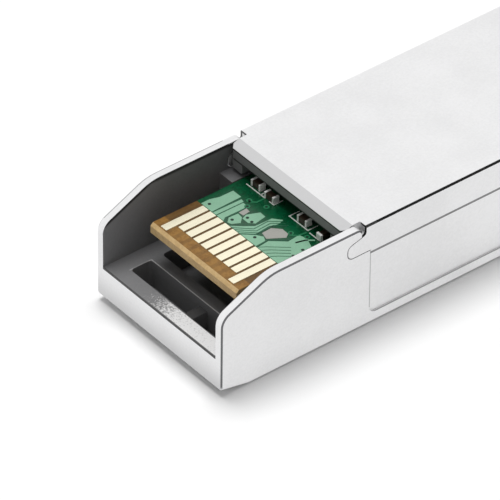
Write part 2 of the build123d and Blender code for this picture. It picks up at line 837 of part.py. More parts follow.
# Bail: one wire from the middle of its crank, out through the nose, down round the crossbar and back
with BuildPart() as bail:
    crank_x = pivot_x + bail_crank
    crank_foot = crank_half_width + crank_slope
    with BuildLine() as wire_path:
        Polyline(
            (crank_x, bail_end_gap / 2, pivot_z),
            (crank_x, crank_half_width, pivot_z),
            (pivot_x, crank_foot, pivot_z),
        )
        FilletPolyline(
            (pivot_x, crank_foot, pivot_z),
            (pivot_x, bail_half_span, pivot_z),
            (crossbar_x, bail_half_span, crossbar_height),
            (crossbar_x, -bail_half_span, crossbar_height),
            (pivot_x, -bail_half_span, pivot_z),
            (pivot_x, -crank_foot, pivot_z),
            radius=bail_bend,
        )
        Polyline(
            (pivot_x, -crank_foot, pivot_z),
            (crank_x, -crank_half_width, pivot_z),
            (crank_x, -bail_end_gap / 2, pivot_z),
        )
    with BuildSketch(Plane(origin=(crank_x, bail_end_gap / 2, pivot_z), z_dir=(0, 1, 0))) as wire_section:
        Circle(wire_radius)
    sweep(path=wire_path.wire(), transition=Transition.RIGHT)
    bail.part.label = "bail"

os.makedirs("parts", exist_ok=True)
export_step(housing_base.part, "parts/housing_base.step")
export_step(lid.part, "parts/lid.step")
export_step(lid_screws.part, "parts/lid_screws.step")
export_step(circuit_board.part, "parts/circuit_board.step")
export_step(contact_pads_top.part, "parts/contact_pads_top.step")
export_step(contact_pads_bottom.part, "parts/contact_pads_bottom.step")
export_step(driver_chip.part, "parts/driver_chip.step")
export_step(amplifier_chip.part, "parts/amplifier_chip.step")
export_step(controller_chip.part, "parts/controller_chip.step")
export_step(thermal_pad.part, "parts/thermal_pad.step")
export_step(chip_capacitors.part, "parts/chip_capacitors.step")
export_step(chip_resistors.part, "parts/chip_resistors.step")
export_step(power_inductors.part, "parts/power_inductors.step")
export_step(transmitter_can.part, "parts/transmitter_can.step")
export_step(receiver_can.part, "parts/receiver_can.step")
export_step(transmitter_barrel.part, "parts/transmitter_barrel.step")
export_step(receiver_barrel.part, "parts/receiver_barrel.step")
export_step(transmitter_flex.part, "parts/transmitter_flex.step")
export_step(receiver_flex.part, "parts/receiver_flex.step")
export_step(optics_clamp.part, "parts/optics_clamp.step")
export_step(emi_collar.part, "parts/emi_collar.step")
export_step(latch_rocker.part, "parts/latch_rocker.step")
export_step(rocker_pin.part, "parts/rocker_pin.step")
export_step(latch_spring.part, "parts/latch_spring.step")
export_step(bail.part, "parts/bail.step")
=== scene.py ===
import math

import bmesh
import bpy
from mathutils import Matrix, Vector


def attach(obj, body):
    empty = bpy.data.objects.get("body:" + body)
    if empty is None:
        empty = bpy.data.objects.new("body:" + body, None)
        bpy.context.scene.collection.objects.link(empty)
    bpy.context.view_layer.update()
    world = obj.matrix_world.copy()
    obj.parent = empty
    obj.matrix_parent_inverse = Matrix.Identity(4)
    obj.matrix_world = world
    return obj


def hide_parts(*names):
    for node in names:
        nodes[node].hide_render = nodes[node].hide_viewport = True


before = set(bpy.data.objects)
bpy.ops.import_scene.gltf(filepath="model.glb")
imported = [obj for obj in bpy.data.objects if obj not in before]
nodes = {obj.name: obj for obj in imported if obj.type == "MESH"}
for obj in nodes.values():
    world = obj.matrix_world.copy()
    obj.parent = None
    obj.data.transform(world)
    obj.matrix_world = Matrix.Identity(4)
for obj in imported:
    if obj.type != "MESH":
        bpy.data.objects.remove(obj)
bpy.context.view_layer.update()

# Places in millimetres, with x counted from the card-edge end. Tint boxes reach a little past their faces.
MM = 0.001
REAR = -28.25
INSIDE_HALF_WIDTH = 6.07
SHROUD_FLOOR = 3.05
RIM_TOP = 8.41
BEHIND_LIP_X = 10.7
RECESS_X = 12.6
PAD_START_X = 4.08
MASK_START_X = 6.85
PAD_PITCH = 0.8
BOARD_TOP = 6.3


def spot(x, y, z):
    """A point in metres, from millimetres with x counted from the card-edge end."""
    return Vector(((x + REAR) * MM, y * MM, z * MM))


def grey(tone):
    return (tone, tone, tone)


def scaled(colour, factor):
    return tuple(factor * channel for channel in colour)


# Shader helpers

FLOAT = "NodeSocketFloat"
VECTOR = "NodeSocketVector"


def link(tree, source, target):
    tree.links.new(source, target)


def math_node(tree, operation, a, b=None, c=None):
    node = tree.nodes.new("ShaderNodeMath")
    node.operation = operation
    for socket, value in zip(node.inputs, (a, b, c)):
        if value is None:
            continue
        if isinstance(value, (int, float)):
            socket.default_value = value
        else:
            link(tree, value, socket)
    return node.outputs[0]


def step_node(tree, value, low, high):
    """A smooth step from 0 at low to 1 at high."""
    node = tree.nodes.new("ShaderNodeMapRange")
    node.interpolation_type = "SMOOTHSTEP"
    link(tree, value, node.inputs["Value"])
    node.inputs["From Min"].default_value = low
    node.inputs["From Max"].default_value = high
    return node.outputs["Result"]


def mix_colour(tree, factor, a, b):
    node = tree.nodes.new("ShaderNodeMix")
    node.data_type = "RGBA"
    link(tree, factor, node.inputs[0])
    for socket, value in ((node.inputs[6], a), (node.inputs[7], b)):
        if isinstance(value, tuple):
            socket.default_value = (*value, 1.0)
        else:
            link(tree, value, socket)
    return node.outputs[2]


def split_vector(tree, vector):
    node = tree.nodes.new("ShaderNodeSeparateXYZ")
    link(tree, vector, node.inputs[0])
    return node.outputs


def new_group(name, inputs, outputs):
    group = bpy.data.node_groups.new(name, "ShaderNodeTree")
    for socket_name, kind, value in inputs:
        socket = group.interface.new_socket(name=socket_name, in_out="INPUT", socket_type=kind)
        if value is not None:
            socket.default_value = value
    for socket_name, kind in outputs:
        group.interface.new_socket(name=socket_name, in_out="OUTPUT", socket_type=kind)
    start = group.nodes.new("NodeGroupInput")
    end = group.nodes.new("NodeGroupOutput")
    return group, start.outputs, end.inputs


def build_grain():
    """Fine pebbled skin: a height for bump and a tone for colour and roughness."""
    group, given, result = new_group(
        "Cast Grain",
        [("Vector", VECTOR, None), ("Grain Size", FLOAT, 0.00018), ("Blotch Size", FLOAT, 0.004)],
        [("Height", FLOAT), ("Tone", FLOAT)],
    )
    grain = group.nodes.new("ShaderNodeTexNoise")
    blotch = group.nodes.new("ShaderNodeTexNoise")
    for node, size in ((grain, given["Grain Size"]), (blotch, given["Blotch Size"])):
        link(group, given["Vector"], node.inputs["Vector"])
        link(group, math_node(group, "DIVIDE", 1.0, size), node.inputs["Scale"])
    grain.inputs["Detail"].default_value = 3.0
    grain.inputs["Roughness"].default_value = 0.6
    blotch.inputs["Detail"].default_value = 4.0
    link(group, grain.outputs["Fac"], result["Height"])
    mixed = math_node(group, "MULTIPLY", grain.outputs["Fac"], 0.5)
    mixed = math_node(group, "MULTIPLY_ADD", blotch.outputs["Fac"], 0.5, mixed)
    link(group, mixed, result["Tone"])
    return group


def build_side_edge():
    """1 on the narrow slants along the sides, 0 elsewhere, from the surface's own normal."""
    group, given, result = new_group("Side Edge", [("Normal", VECTOR, None)], [("Mask", FLOAT)])
    across = math_node(group, "ABSOLUTE", split_vector(group, given["Normal"])[1])
    slanted = step_node(group, across, 0.3, 0.55)
    not_flat = step_node(group, across, 0.97, 0.88)
    link(group, math_node(group, "MULTIPLY", slanted, not_flat), result["Mask"])
    return group


def build_inside_box():
    """1 inside a box given by two opposite corners in metres, 0 outside it."""
    group, given, result = new_group(
        "Inside Box",
        [("Vector", VECTOR, None), ("Low", VECTOR, None), ("High", VECTOR, None)],
        [("Mask", FLOAT)],
    )
    here, low, high = (split_vector(group, given[name]) for name in ("Vector", "Low", "High"))
    mask = None
    for i in range(3):
        above = math_node(group, "GREATER_THAN", here[i], low[i])
        below = math_node(group, "LESS_THAN", here[i], high[i])
        both = math_node(group, "MULTIPLY", above, below)
        mask = both if mask is None else math_node(group, "MULTIPLY", mask, both)
    link(group, mask, result["Mask"])
    return group


cast_grain = build_grain()
side_edge = build_side_edge()
inside_box = build_inside_box()


def group_node(tree, group, **values):
    node = tree.nodes.new("ShaderNodeGroup")
    node.node_tree = group
    for name, value in values.items():
        socket = node.inputs[name.replace("_", " ")]
        if isinstance(value, (int, float, tuple, Vector)):
            socket.default_value = value
        else:
            link(tree, value, socket)
    return node.outputs


def new_material(name, metallic=0.0, roughness=0.5):
    material = bpy.data.materials.new(name)
    material.use_nodes = True
    tree = material.node_tree
    shader = tree.nodes["Principled BSDF"]
    shader.inputs["Metallic"].default_value = metallic
    shader.inputs["Roughness"].default_value = roughness
    coordinates = tree.nodes.new("ShaderNodeTexCoord")
    return material, tree, shader, coordinates


def box_mask(tree, coordinates, low, high):
    here = coordinates.outputs["Object"]
    return group_node(tree, inside_box, Vector=here, Low=spot(*low), High=spot(*high))["Mask"]


def add_bump(tree, shader, height, distance, strength):
    bump = tree.nodes.new("ShaderNodeBump")
    bump.inputs["Strength"].default_value = strength
    bump.inputs["Distance"].default_value = distance
    link(tree, height, bump.inputs["Height"])
    link(tree, bump.outputs["Normal"], shader.inputs["Normal"])


# Materials


def rim_shade(tree, place, knee_height, slope, top):
    """1 in the painted shade line on a shroud wall's inner face, just under its rim."""
    along = math_node(tree, "SUBTRACT", place[0], REAR * MM)
    rim_height = math_node(tree, "MULTIPLY_ADD", along, slope, knee_height * MM)
    rim_height = math_node(tree, "MINIMUM", rim_height, top * MM)
    below_rim = math_node(tree, "SUBTRACT", place[2], rim_height)
    shade = step_node(tree, below_rim, -0.34 * MM, -0.14 * MM)
    on_wall = math_node(tree, "GREATER_THAN", math_node(tree, "ABSOLUTE", place[1]), 6.0 * MM)
    return math_node(tree, "MULTIPLY", shade, on_wall)


def strip_light(tree, coordinates, place, low, high, start, full):
    """Painted light in a box, in speckles that close up from y = start to y = full."""
    here = coordinates.outputs["Object"]
    fade = step_node(tree, place[1], start * MM, full * MM)
    speckle = group_node(tree, cast_grain, Vector=here, Grain_Size=0.00012)["Height"]
    lit = math_node(tree, "MULTIPLY_ADD", speckle, 1.6, math_node(tree, "SUBTRACT", fade, 0.95))
    in_box = box_mask(tree, coordinates, low, high)
    return math_node(tree, "MULTIPLY", step_node(tree, lit, 0.25, 0.8), in_box)


def cast_metal(
    name, colour, edge_reflection_colour, inner_shade_colour=None, inner_boxes=(), tints=(), strip=None, rim=None
):
    """Plated casting with a pale grained skin, a painted dark reflection line on the side edges
    and painted shade towards the bottom of rear-facing faces.

    Inside inner_boxes it has painted shade, dark and less metallic, with painted light towards the
    open rear end. Each tint colours the faces in its box, strip is a speckled patch of painted
    light, and rim is the painted shade line just under a sloping rim.
    """
    material, tree, shader, coordinates = new_material(name, metallic=1.0)
    grain = group_node(tree, cast_grain, Vector=coordinates.outputs["Object"])
    place = split_vector(tree, coordinates.outputs["Object"])
    facing = split_vector(tree, coordinates.outputs["Normal"])
    tone = step_node(tree, grain["Tone"], 0.3, 0.7)
    rough = math_node(tree, "MULTIPLY_ADD", tone, 0.08, 0.38)
    skin = mix_colour(tree, tone, scaled(colour, 0.93), scaled(colour, 1.02))

    # Painted shade: rear-facing faces darker towards the bottom
    painted_foot_shade = step_node(tree, place[2], 2.9 * MM, 0.3 * MM)
    painted_foot_shade = math_node(tree, "MULTIPLY", painted_foot_shade, step_node(tree, facing[0], -0.6, -0.95))
    skin = mix_colour(tree, math_node(tree, "MULTIPLY", painted_foot_shade, 0.62), skin, scaled(colour, 0.55))

    # Painted dark reflection line on the side edges, kept off the foot
    edge = group_node(tree, side_edge, Normal=coordinates.outputs["Normal"])["Mask"]
    edge = math_node(tree, "MULTIPLY", edge, step_node(tree, place[2], 0.6 * MM, 0.9 * MM))
    skin = mix_colour(tree, edge, skin, edge_reflection_colour)

    # Painted shade inside inner_boxes: dark and less metallic, with painted light towards the open rear end
    if inner_boxes:
        inner = None
        for low, high in inner_boxes:
            mask = box_mask(tree, coordinates, low, high)
            inner = mask if inner is None else math_node(tree, "MAXIMUM", inner, mask)
        painted_inner_shade = mix_colour(tree, tone, scaled(inner_shade_colour, 0.82), inner_shade_colour)
        painted_open_end_light = step_node(tree, place[0], (7.0 + REAR) * MM, REAR * MM)
        painted_open_end_light = math_node(tree, "MULTIPLY", painted_open_end_light, 0.35)
        painted_inner_shade = mix_colour(tree, painted_open_end_light, painted_inner_shade, scaled(inner_shade_colour, 2.0))
        if rim:
            painted_inner_shade = mix_colour(tree, rim_shade(tree, place, *rim), painted_inner_shade, grey(0.012))
        skin = mix_colour(tree, inner, skin, painted_inner_shade)
        link(tree, math_node(tree, "MULTIPLY_ADD", inner, -0.85, 1.0), shader.inputs["Metallic"])
        rough = math_node(tree, "MULTIPLY_ADD", inner, 0.2, rough)
    for low, high, tint in tints:
        skin = mix_colour(tree, box_mask(tree, coordinates, low, high), skin, tint)
    if strip:
        low, high, tint, start, full = strip
        skin = mix_colour(tree, strip_light(tree, coordinates, place, low, high, start, full), skin, tint)
    link(tree, skin, shader.inputs["Base Color"])
    link(tree, rough, shader.inputs["Roughness"])
    add_bump(tree, shader, grain["Height"], 0.00002, 0.7)
    return material


base_metal = cast_metal(
    "plated_casting_base",
    (0.87, 0.87, 0.875),
    # Then the painted dark reflection line on the side edges and the painted shade colour inside
    (0.16, 0.16, 0.165),
    (0.155, 0.155, 0.158),
    # Painted shade inside the shroud, up to just under the wall rims
    [
        ((0.0, -INSIDE_HALF_WIDTH, 0.8), (39.0, INSIDE_HALF_WIDTH, 8.3)),
        ((0.0, -INSIDE_HALF_WIDTH, 8.2), (BEHIND_LIP_X, INSIDE_HALF_WIDTH, 8.45)),
    ],
    tints=[
        # Painted shade line on the rear edge of the shroud floor, then painted highlight lines on the far
        # and left edges of its first pocket
        ((-0.02, -6.06, 2.9), (0.07, 6.06, 3.2), grey(0.08)),
        ((3.02, -4.7, 3.0), (3.10, 4.7, 3.1), grey(0.50)),
        ((1.20, 4.66, 3.0), (3.06, 4.74, 3.1), grey(0.38)),
        # Painted shade on the walls round the side recess, then a painted shadow line at its rear end
        ((12.5, -6.695, 0.8), (36.7, -6.595, 6.5), grey(0.30)),
        ((RECESS_X, -6.595, 1.3), (RECESS_X + 0.18, -6.57, 6.5), grey(0.50)),
        # Painted dark reflection line along the left wall's outer rim
        ((0.5, 6.53, 6.0), (10.6, 6.695, 8.5), grey(0.45)),
        # Painted shadow line at the top of the side recess, just under the lid
        ((RECESS_X, -6.595, 5.9), (36.6, -6.57, 6.08), grey(0.25)),
        # Painted shade on the top of the rib in the first pocket
        ((1.28, -1.4, 2.3), (3.02, -0.6, 2.5), grey(0.05)),
    ],
    # Painted light on the rear strip of the shroud floor, bright on the right and fading to the left
    strip=((0.11, -6.06, SHROUD_FLOOR - 0.05), (1.24, 6.06, SHROUD_FLOOR + 0.05), grey(0.74), 4.3, -2.6),
    rim=(6.47, 0.473, RIM_TOP),
)
lid_metal = cast_metal(
    "plated_casting_lid",
    (0.87, 0.87, 0.875),
    # Then the painted dark reflection line on the side edges and the painted shade colour inside
    (0.02, 0.02, 0.025),
    (0.22, 0.22, 0.222),
    # Painted shade under the lid and on the end face behind the lip
    [
        ((BEHIND_LIP_X, -6.02, 6.0), (38.9, 6.02, 7.8)),
        ((BEHIND_LIP_X, -6.02, 6.0), (BEHIND_LIP_X + 0.13, 6.02, 8.19)),
    ],
    tints=[
        # Painted shade on the sloped lip, then painted shade lines at the top and bottom of the end face
        # below it
        ((BEHIND_LIP_X, -6.1, 8.19), (11.6, 6.1, 8.49), (0.65, 0.65, 0.655)),
        ((BEHIND_LIP_X, -6.02, 8.09), (BEHIND_LIP_X + 0.13, 6.02, 8.19), grey(0.02)),
        ((BEHIND_LIP_X, -6.02, 7.3), (BEHIND_LIP_X + 0.13, 6.02, 7.44), grey(0.02)),
        # Painted dark reflection line on the top edge along the right side
        ((12.2, -6.71, 8.38), (39.0, -6.56, 8.51), grey(0.02)),
        # Painted shade lines at the edges beside the shroud walls' ends, on the right side and then on the
        # left
        ((10.9, -6.69, 6.0), (13.2, -6.50, 8.49), grey(0.03)),
        ((10.9, -6.69, 8.33), (13.2, -INSIDE_HALF_WIDTH, 8.49), grey(0.05)),
        ((10.9, 6.50, 6.0), (13.2, 6.69, 8.49), grey(0.12)),
        ((10.9, INSIDE_HALF_WIDTH, 8.33), (13.2, 6.69, 8.49), grey(0.12)),
    ],
)
# Its grey is the painted dark reflection line on the side edges
rocker_cast = cast_metal("plated_casting_rocker", (0.78, 0.78, 0.785), grey(0.5))


def brushed_metal(name, colour, roughness, stretch=(1.0, 1.0, 1.0), metallic=1.0):
    """Plain worked metal with fine drawn or rolled lines."""
    material, tree, shader, coordinates = new_material(name, metallic=metallic)
    mapping = tree.nodes.new("ShaderNodeMapping")
    mapping.inputs["Scale"].default_value = stretch
    link(tree, coordinates.outputs["Object"], mapping.inputs["Vector"])
    vector = mapping.outputs["Vector"]
    grain = group_node(tree, cast_grain, Vector=vector, Grain_Size=0.0004, Blotch_Size=0.003)
    tone = step_node(tree, grain["Tone"], 0.3, 0.7)
    link(tree, mix_colour(tree, tone, scaled(colour, 0.88), colour), shader.inputs["Base Color"])
    link(tree, math_node(tree, "MULTIPLY_ADD", tone, 0.12, roughness - 0.06), shader.inputs["Roughness"])
    add_bump(tree, shader, grain["Height"], 0.000006, 0.4)
    return material


def moulded(name, colour, roughness, size=0.0001):
    """Moulded, pressed or printed skin with a fine matt grain."""
    material, tree, shader, coordinates = new_material(name)
    here = coordinates.outputs["Object"]
    grain = group_node(tree, cast_grain, Vector=here, Grain_Size=size, Blotch_Size=0.002)
    tone = step_node(tree, grain["Tone"], 0.3, 0.7)
    link(tree, mix_colour(tree, tone, scaled(colour, 0.8), colour), shader.inputs["Base Color"])
    link(tree, math_node(tree, "MULTIPLY_ADD", tone, 0.15, roughness - 0.07), shader.inputs["Roughness"])
    add_bump(tree, shader, grain["Height"], 0.000008, 0.5)
    return material


def board_material():
    """Green solder mask over most of the board, bare laminate at the card edge and on the cut sides."""
    material, tree, shader, coordinates = new_material("circuit_board_faces")
    place = split_vector(tree, coordinates.outputs["Object"])
    facing = split_vector(tree, coordinates.outputs["Normal"])
    flat = step_node(tree, math_node(tree, "ABSOLUTE", facing[2]), 0.9, 0.98)
    past_pads = math_node(tree, "GREATER_THAN", place[0], (MASK_START_X + REAR) * MM)
    masked = math_node(tree, "MULTIPLY", flat, past_pads)
    here = coordinates.outputs["Object"]
    weave = group_node(tree, cast_grain, Vector=here, Grain_Size=0.0002, Blotch_Size=0.001)
    tone = step_node(tree, weave["Tone"], 0.35, 0.65)
    laminate = mix_colour(tree, tone, (0.17, 0.078, 0.012), (0.28, 0.145, 0.032))
    cut_side = mix_colour(tree, tone, (0.48, 0.32, 0.14), (0.60, 0.42, 0.20))
    wave = math_node(tree, "MULTIPLY", place[1], 2 * math.pi / (PAD_PITCH * MM))
    inner_layer = step_node(tree, math_node(tree, "COSINE", wave), -0.2, 0.6)
    inner_layer = math_node(tree, "MULTIPLY", inner_layer, 0.3)
    laminate = mix_colour(tree, inner_layer, laminate, (0.07, 0.032, 0.006))
    pads_start = (PAD_START_X + REAR) * MM
    between_pads = step_node(tree, place[0], pads_start - 0.08 * MM, pads_start + 0.07 * MM)
    between_pads = math_node(tree, "MULTIPLY", between_pads, 0.6)
    laminate = mix_colour(tree, between_pads, laminate, (0.03, 0.015, 0.003))
    bare = mix_colour(tree, flat, cut_side, laminate)
    mask_green = mix_colour(tree, tone, (0.001, 0.045, 0.016), (0.001, 0.082, 0.030))
    link(tree, mix_colour(tree, masked, bare, mask_green), shader.inputs["Base Color"])
    link(tree, math_node(tree, "MULTIPLY_ADD", masked, -0.25, 0.5), shader.inputs["Roughness"])
    add_bump(tree, shader, weave["Height"], 0.000006, 0.4)
    return material


gold = brushed_metal("gold_plate", (1.0, 0.94, 0.72), 0.34, (0.2, 1.0, 1.0), metallic=0.55)
steel_can = brushed_metal("nickel_can", (0.66, 0.64, 0.60), 0.3)
steel_turned = brushed_metal("turned_steel", (0.62, 0.62, 0.62), 0.28, (8.0, 1.0, 1.0))
steel_sheet = brushed_metal("sprung_sheet", (0.68, 0.67, 0.64), 0.26, (0.15, 1.0, 1.0))
steel_wire = brushed_metal("drawn_wire", (0.64, 0.64, 0.64), 0.24)
steel_screw = brushed_metal("zinc_screw", (0.45, 0.45, 0.46), 0.35)
steel_plate = brushed_metal("blanked_plate", (0.5, 0.5, 0.5), 0.4)
chip_body = moulded("chip_moulding", (0.02, 0.02, 0.022), 0.5)
inductor_body = moulded("pressed_powder", (0.09, 0.09, 0.095), 0.6)
capacitor_body = moulded("capacitor_ceramic", (0.035, 0.022, 0.014), 0.4)
resistor_body = moulded("resistor_film", (0.02, 0.02, 0.025), 0.35)
tin_plate = moulded("tin_plate", (1.0, 1.0, 0.97), 0.3)
soft_sheet = moulded("soft_thermal_sheet", (0.35, 0.42, 0.48), 0.8, 0.0003)
amber_film = moulded("amber_flex", (0.52, 0.20, 0.03), 0.25)

finishes = {
    "housing_base": base_metal,
    "lid": lid_metal,
    "lid_screws": steel_screw,
    "circuit_board": board_material(),
    "contact_pads_top": gold,
    "contact_pads_bottom": gold,
    "driver_chip": chip_body,
    "amplifier_chip": chip_body,
    "controller_chip": chip_body,
    "thermal_pad": soft_sheet,
    "chip_capacitors": capacitor_body,
    "chip_resistors": resistor_body,
    "power_inductors": inductor_body,
    "transmitter_can": steel_can,
    "receiver_can": steel_can,
    "transmitter_barrel": steel_turned,
    "receiver_barrel": steel_turned,
    "transmitter_flex": amber_film,
    "receiver_flex": amber_film,
    "optics_clamp": steel_plate,
    "emi_collar": steel_sheet,
    "rocker_pin": steel_wire,
    "latch_spring": steel_sheet,
    "bail": steel_wire,
    "latch_rocker": rocker_cast,
}
for node_name, finish in finishes.items():
    for material_slot in nodes[node_name].material_slots:
        material_slot.material = finish


# Copper, vias and printed marks on the board's top face

# Each kind has its material and how far its top lies above the board, in millimetres
ART_KINDS = {
    "pour": (moulded("mask_over_copper", (0.235, 0.46, 0.31), 0.35), 0.006),
    "land": (moulded("mask_over_land", (0.02, 0.17, 0.075), 0.35), 0.008),
    "bare": (moulded("thin_mask_over_copper", (0.35, 0.35, 0.32), 0.35), 0.009),
    "gap": (moulded("mask_over_laminate", (0.006, 0.085, 0.04), 0.35), 0.012),
    "hole": (moulded("via_hole", (0.001, 0.018, 0.008), 0.5), 0.015),
    "ink": (moulded("white_ink", (0.72, 0.74, 0.70), 0.6), 0.012),
}
INK_WIDTH = 0.09
art_shapes = []


def plate(kind, *outline):
    """A thin flat piece on the board's top face."""
    art_shapes.append((kind, outline))


def ribbon(kind, width, *points):
    """A thin strip along a path, mitred at its corners."""
    left = []
    right = []
    for i, point in enumerate(points):
        here = Vector(point)
        before = Vector(points[i - 1]) if i > 0 else None
        after = Vector(points[i + 1]) if i < len(points) - 1 else None
        steps = [(here - before).normalized()] if before else []
        steps += [(after - here).normalized()] if after else []
        way = sum(steps, Vector((0, 0))).normalized()
        side = Vector((-way.y, way.x)) * (width / 2 / max(0.5, way.dot(steps[0])))
        left.append(here + side)
        right.append(here - side)
    plate(kind, *left, *right[::-1])


def disc(kind, x, y, radius, count=14):
    turn = 2 * math.pi / count
    plate(kind, *((x + radius * math.cos(i * turn), y + radius * math.sin(i * turn)) for i in range(count)))


# Ground areas behind the pads
plate("pour", (6.9, 3.05), (9.45, 3.1), (9.45, 3.95), (8.3, 3.98), (7.6, 4.2), (6.9, 4.2))
plate("pour", (6.9, 2.62), (9.25, 2.58), (9.3, 2.88), (6.9, 2.94))
plate("pour", (6.9, 1.8), (7.2, 2.02), (8.8, 2.0), (9.15, 2.15), (9.15, 2.5), (6.9, 2.52))
plate("pour", (7.0, 1.5), (7.4, 1.86), (8.15, 1.8), (8.1, 1.32), (7.65, 0.9), (7.1, 1.2))
plate("pour", (8.05, 1.2), (8.5, 1.38), (9.4, 0.98), (9.38, 0.42), (8.4, 0.25), (8.05, 0.6))
plate("bare", (8.25, 1.86), (8.95, 1.9), (8.9, 1.5), (8.3, 1.42))
plate("bare", (8.1, -0.82), (8.9, -0.78), (9.44, -1.32), (9.42, -1.96), (9.06, -2.21), (7.94, -1.48))
plate(
    "pour",
    (6.9, 1.1), (7.6, 0.5), (8.2, 0.05), (9.6, 0.0), (10.1, -0.6),
    (9.6, -0.75), (8.8, -0.6), (7.7, -0.62), (6.9, 0.1),
)
plate("pour", (6.9, -0.05), (7.65, -0.75), (7.95, -1.2), (7.75, -1.6), (6.9, -1.65))
plate("pour", (6.9, -1.85), (7.9, -1.75), (8.9, -2.6), (9.9, -2.5), (10.1, -3.1), (9.6, -4.45), (6.9, -4.45))

# Gaps that part the areas into signal traces
for shift in (0.0, -0.28, -0.56):
    path = ((6.9, 0.86), (7.1, 0.66), (7.95, -0.14), (9.2, -0.08), (10.0, -0.75))
    ribbon("gap", 0.07, *((x, y + shift) for x, y in path))
ribbon("gap", 0.07, (6.9, -0.02), (7.65, -0.68), (8.95, -0.56), (9.9, -1.28))
ribbon("gap", 0.08, (6.9, -1.74), (7.9, -1.62), (8.95, -2.5), (9.7, -2.44))
for i in range(4):
    start_y = -2.05 - 0.42 * i
    forward = 1.25 - 0.2 * i
    corner = (7.4, start_y - 0.1)
    ribbon("gap", 0.06, (6.95, start_y + 0.2), corner, (corner[0] + forward, corner[1] - 0.85 * forward))
ribbon("gap", 0.06, (7.0, 2.98), (9.35, 2.96))
ribbon("gap", 0.06, (6.95, 2.58), (9.2, 2.54), (9.5, 2.7))
ribbon("gap", 0.07, (6.95, 1.68), (7.25, 1.94), (8.8, 1.94), (9.05, 2.08))

# Single traces further in, and the vias
ribbon("land", 0.12, (9.5, 2.4), (9.9, 2.0), (10.6, 2.0))
ribbon("land", 0.12, (9.4, -2.1), (9.8, -2.5), (10.5, -2.6))
ribbon("pour", 0.14, (9.2, -3.0), (9.9, -3.2), (10.4, -3.6))
for x, y in (
    (7.29, 3.80), (7.42, 1.53), (8.36, 1.06), (8.31, 0.53),
    (7.43, -0.88), (8.2, -4.0), (7.7, -4.2), (9.1, -3.9),
):
    disc("hole", x, y, 0.12)
for x, y in ((9.13, 2.04), (9.64, 2.47), (9.61, -2.0), (10.1, 1.2), (10.2, -3.0)):
    disc("land", x, y, 0.21)
    disc("hole", x, y, 0.1)

# Printed marks round the small parts
ribbon("ink", INK_WIDTH, (10.62, 4.0), (10.62, 2.05), (11.45, 2.05))
ribbon("ink", INK_WIDTH, (10.62, 2.46), (11.45, 2.46))
ribbon("ink", INK_WIDTH, (10.62, 1.55), (10.62, 1.05), (11.4, 1.05))
ribbon("ink", INK_WIDTH, (11.55, -0.52), (10.68, -0.52), (10.68, -2.5), (11.55, -2.5))
ribbon("ink", INK_WIDTH, (10.6, -2.75), (10.6, -3.7), (10.9, -4.35))

art_mesh = bpy.data.meshes.new("board_artwork")
art_build = bmesh.new()
kind_names = list(ART_KINDS)
for kind, outline in art_shapes:
    corners = [Vector(corner) for corner in outline]
    area = sum(a.cross(b) for a, b in zip(corners, corners[1:] + corners[:1]))
    if area < 0:
        corners.reverse()
    top = BOARD_TOP + ART_KINDS[kind][1]
    lower = [art_build.verts.new(spot(c.x, c.y, BOARD_TOP)) for c in corners]
    upper = [art_build.verts.new(spot(c.x, c.y, top)) for c in corners]
    faces = [art_build.faces.new(upper), art_build.faces.new(lower[::-1])]
    for i in range(len(corners)):
        j = (i + 1) % len(corners)
        faces.append(art_build.faces.new((lower[i], lower[j], upper[j], upper[i])))
    for face in faces:
        face.material_index = kind_names.index(kind)
art_build.to_mesh(art_mesh)
art_build.free()
for art_material, level in ART_KINDS.values():
    art_mesh.materials.append(art_material)
board_artwork = bpy.data.objects.new("board_artwork", art_mesh)
bpy.context.scene.collection.objects.link(board_artwork)
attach(board_artwork, "housing")


# Small parts with plated ends

END_SHARE = 0.17


def solid_boxes(node):
    """Middle and size of each separate solid in a CAD node."""
    work = bmesh.new()
    work.from_mesh(node.data)
    bmesh.ops.remove_doubles(work, verts=work.verts[:], dist=0.000001)
    left = set(work.verts)
    boxes = []
    while left:
        queue = [left.pop()]
        island = []
        while queue:
            vert = queue.pop()
            island.append(vert.co.copy())
            for edge in vert.link_edges:
                other = edge.other_vert(vert)
                if other in left:
                    left.remove(other)
                    queue.append(other)
        low = Vector([min(v[i] for v in island) for i in range(3)])
        high = Vector([max(v[i] for v in island) for i in range(3)])
        boxes.append(((low + high) / 2, high - low))
    work.free()
    return sorted(boxes, key=lambda box: tuple(box[0]))


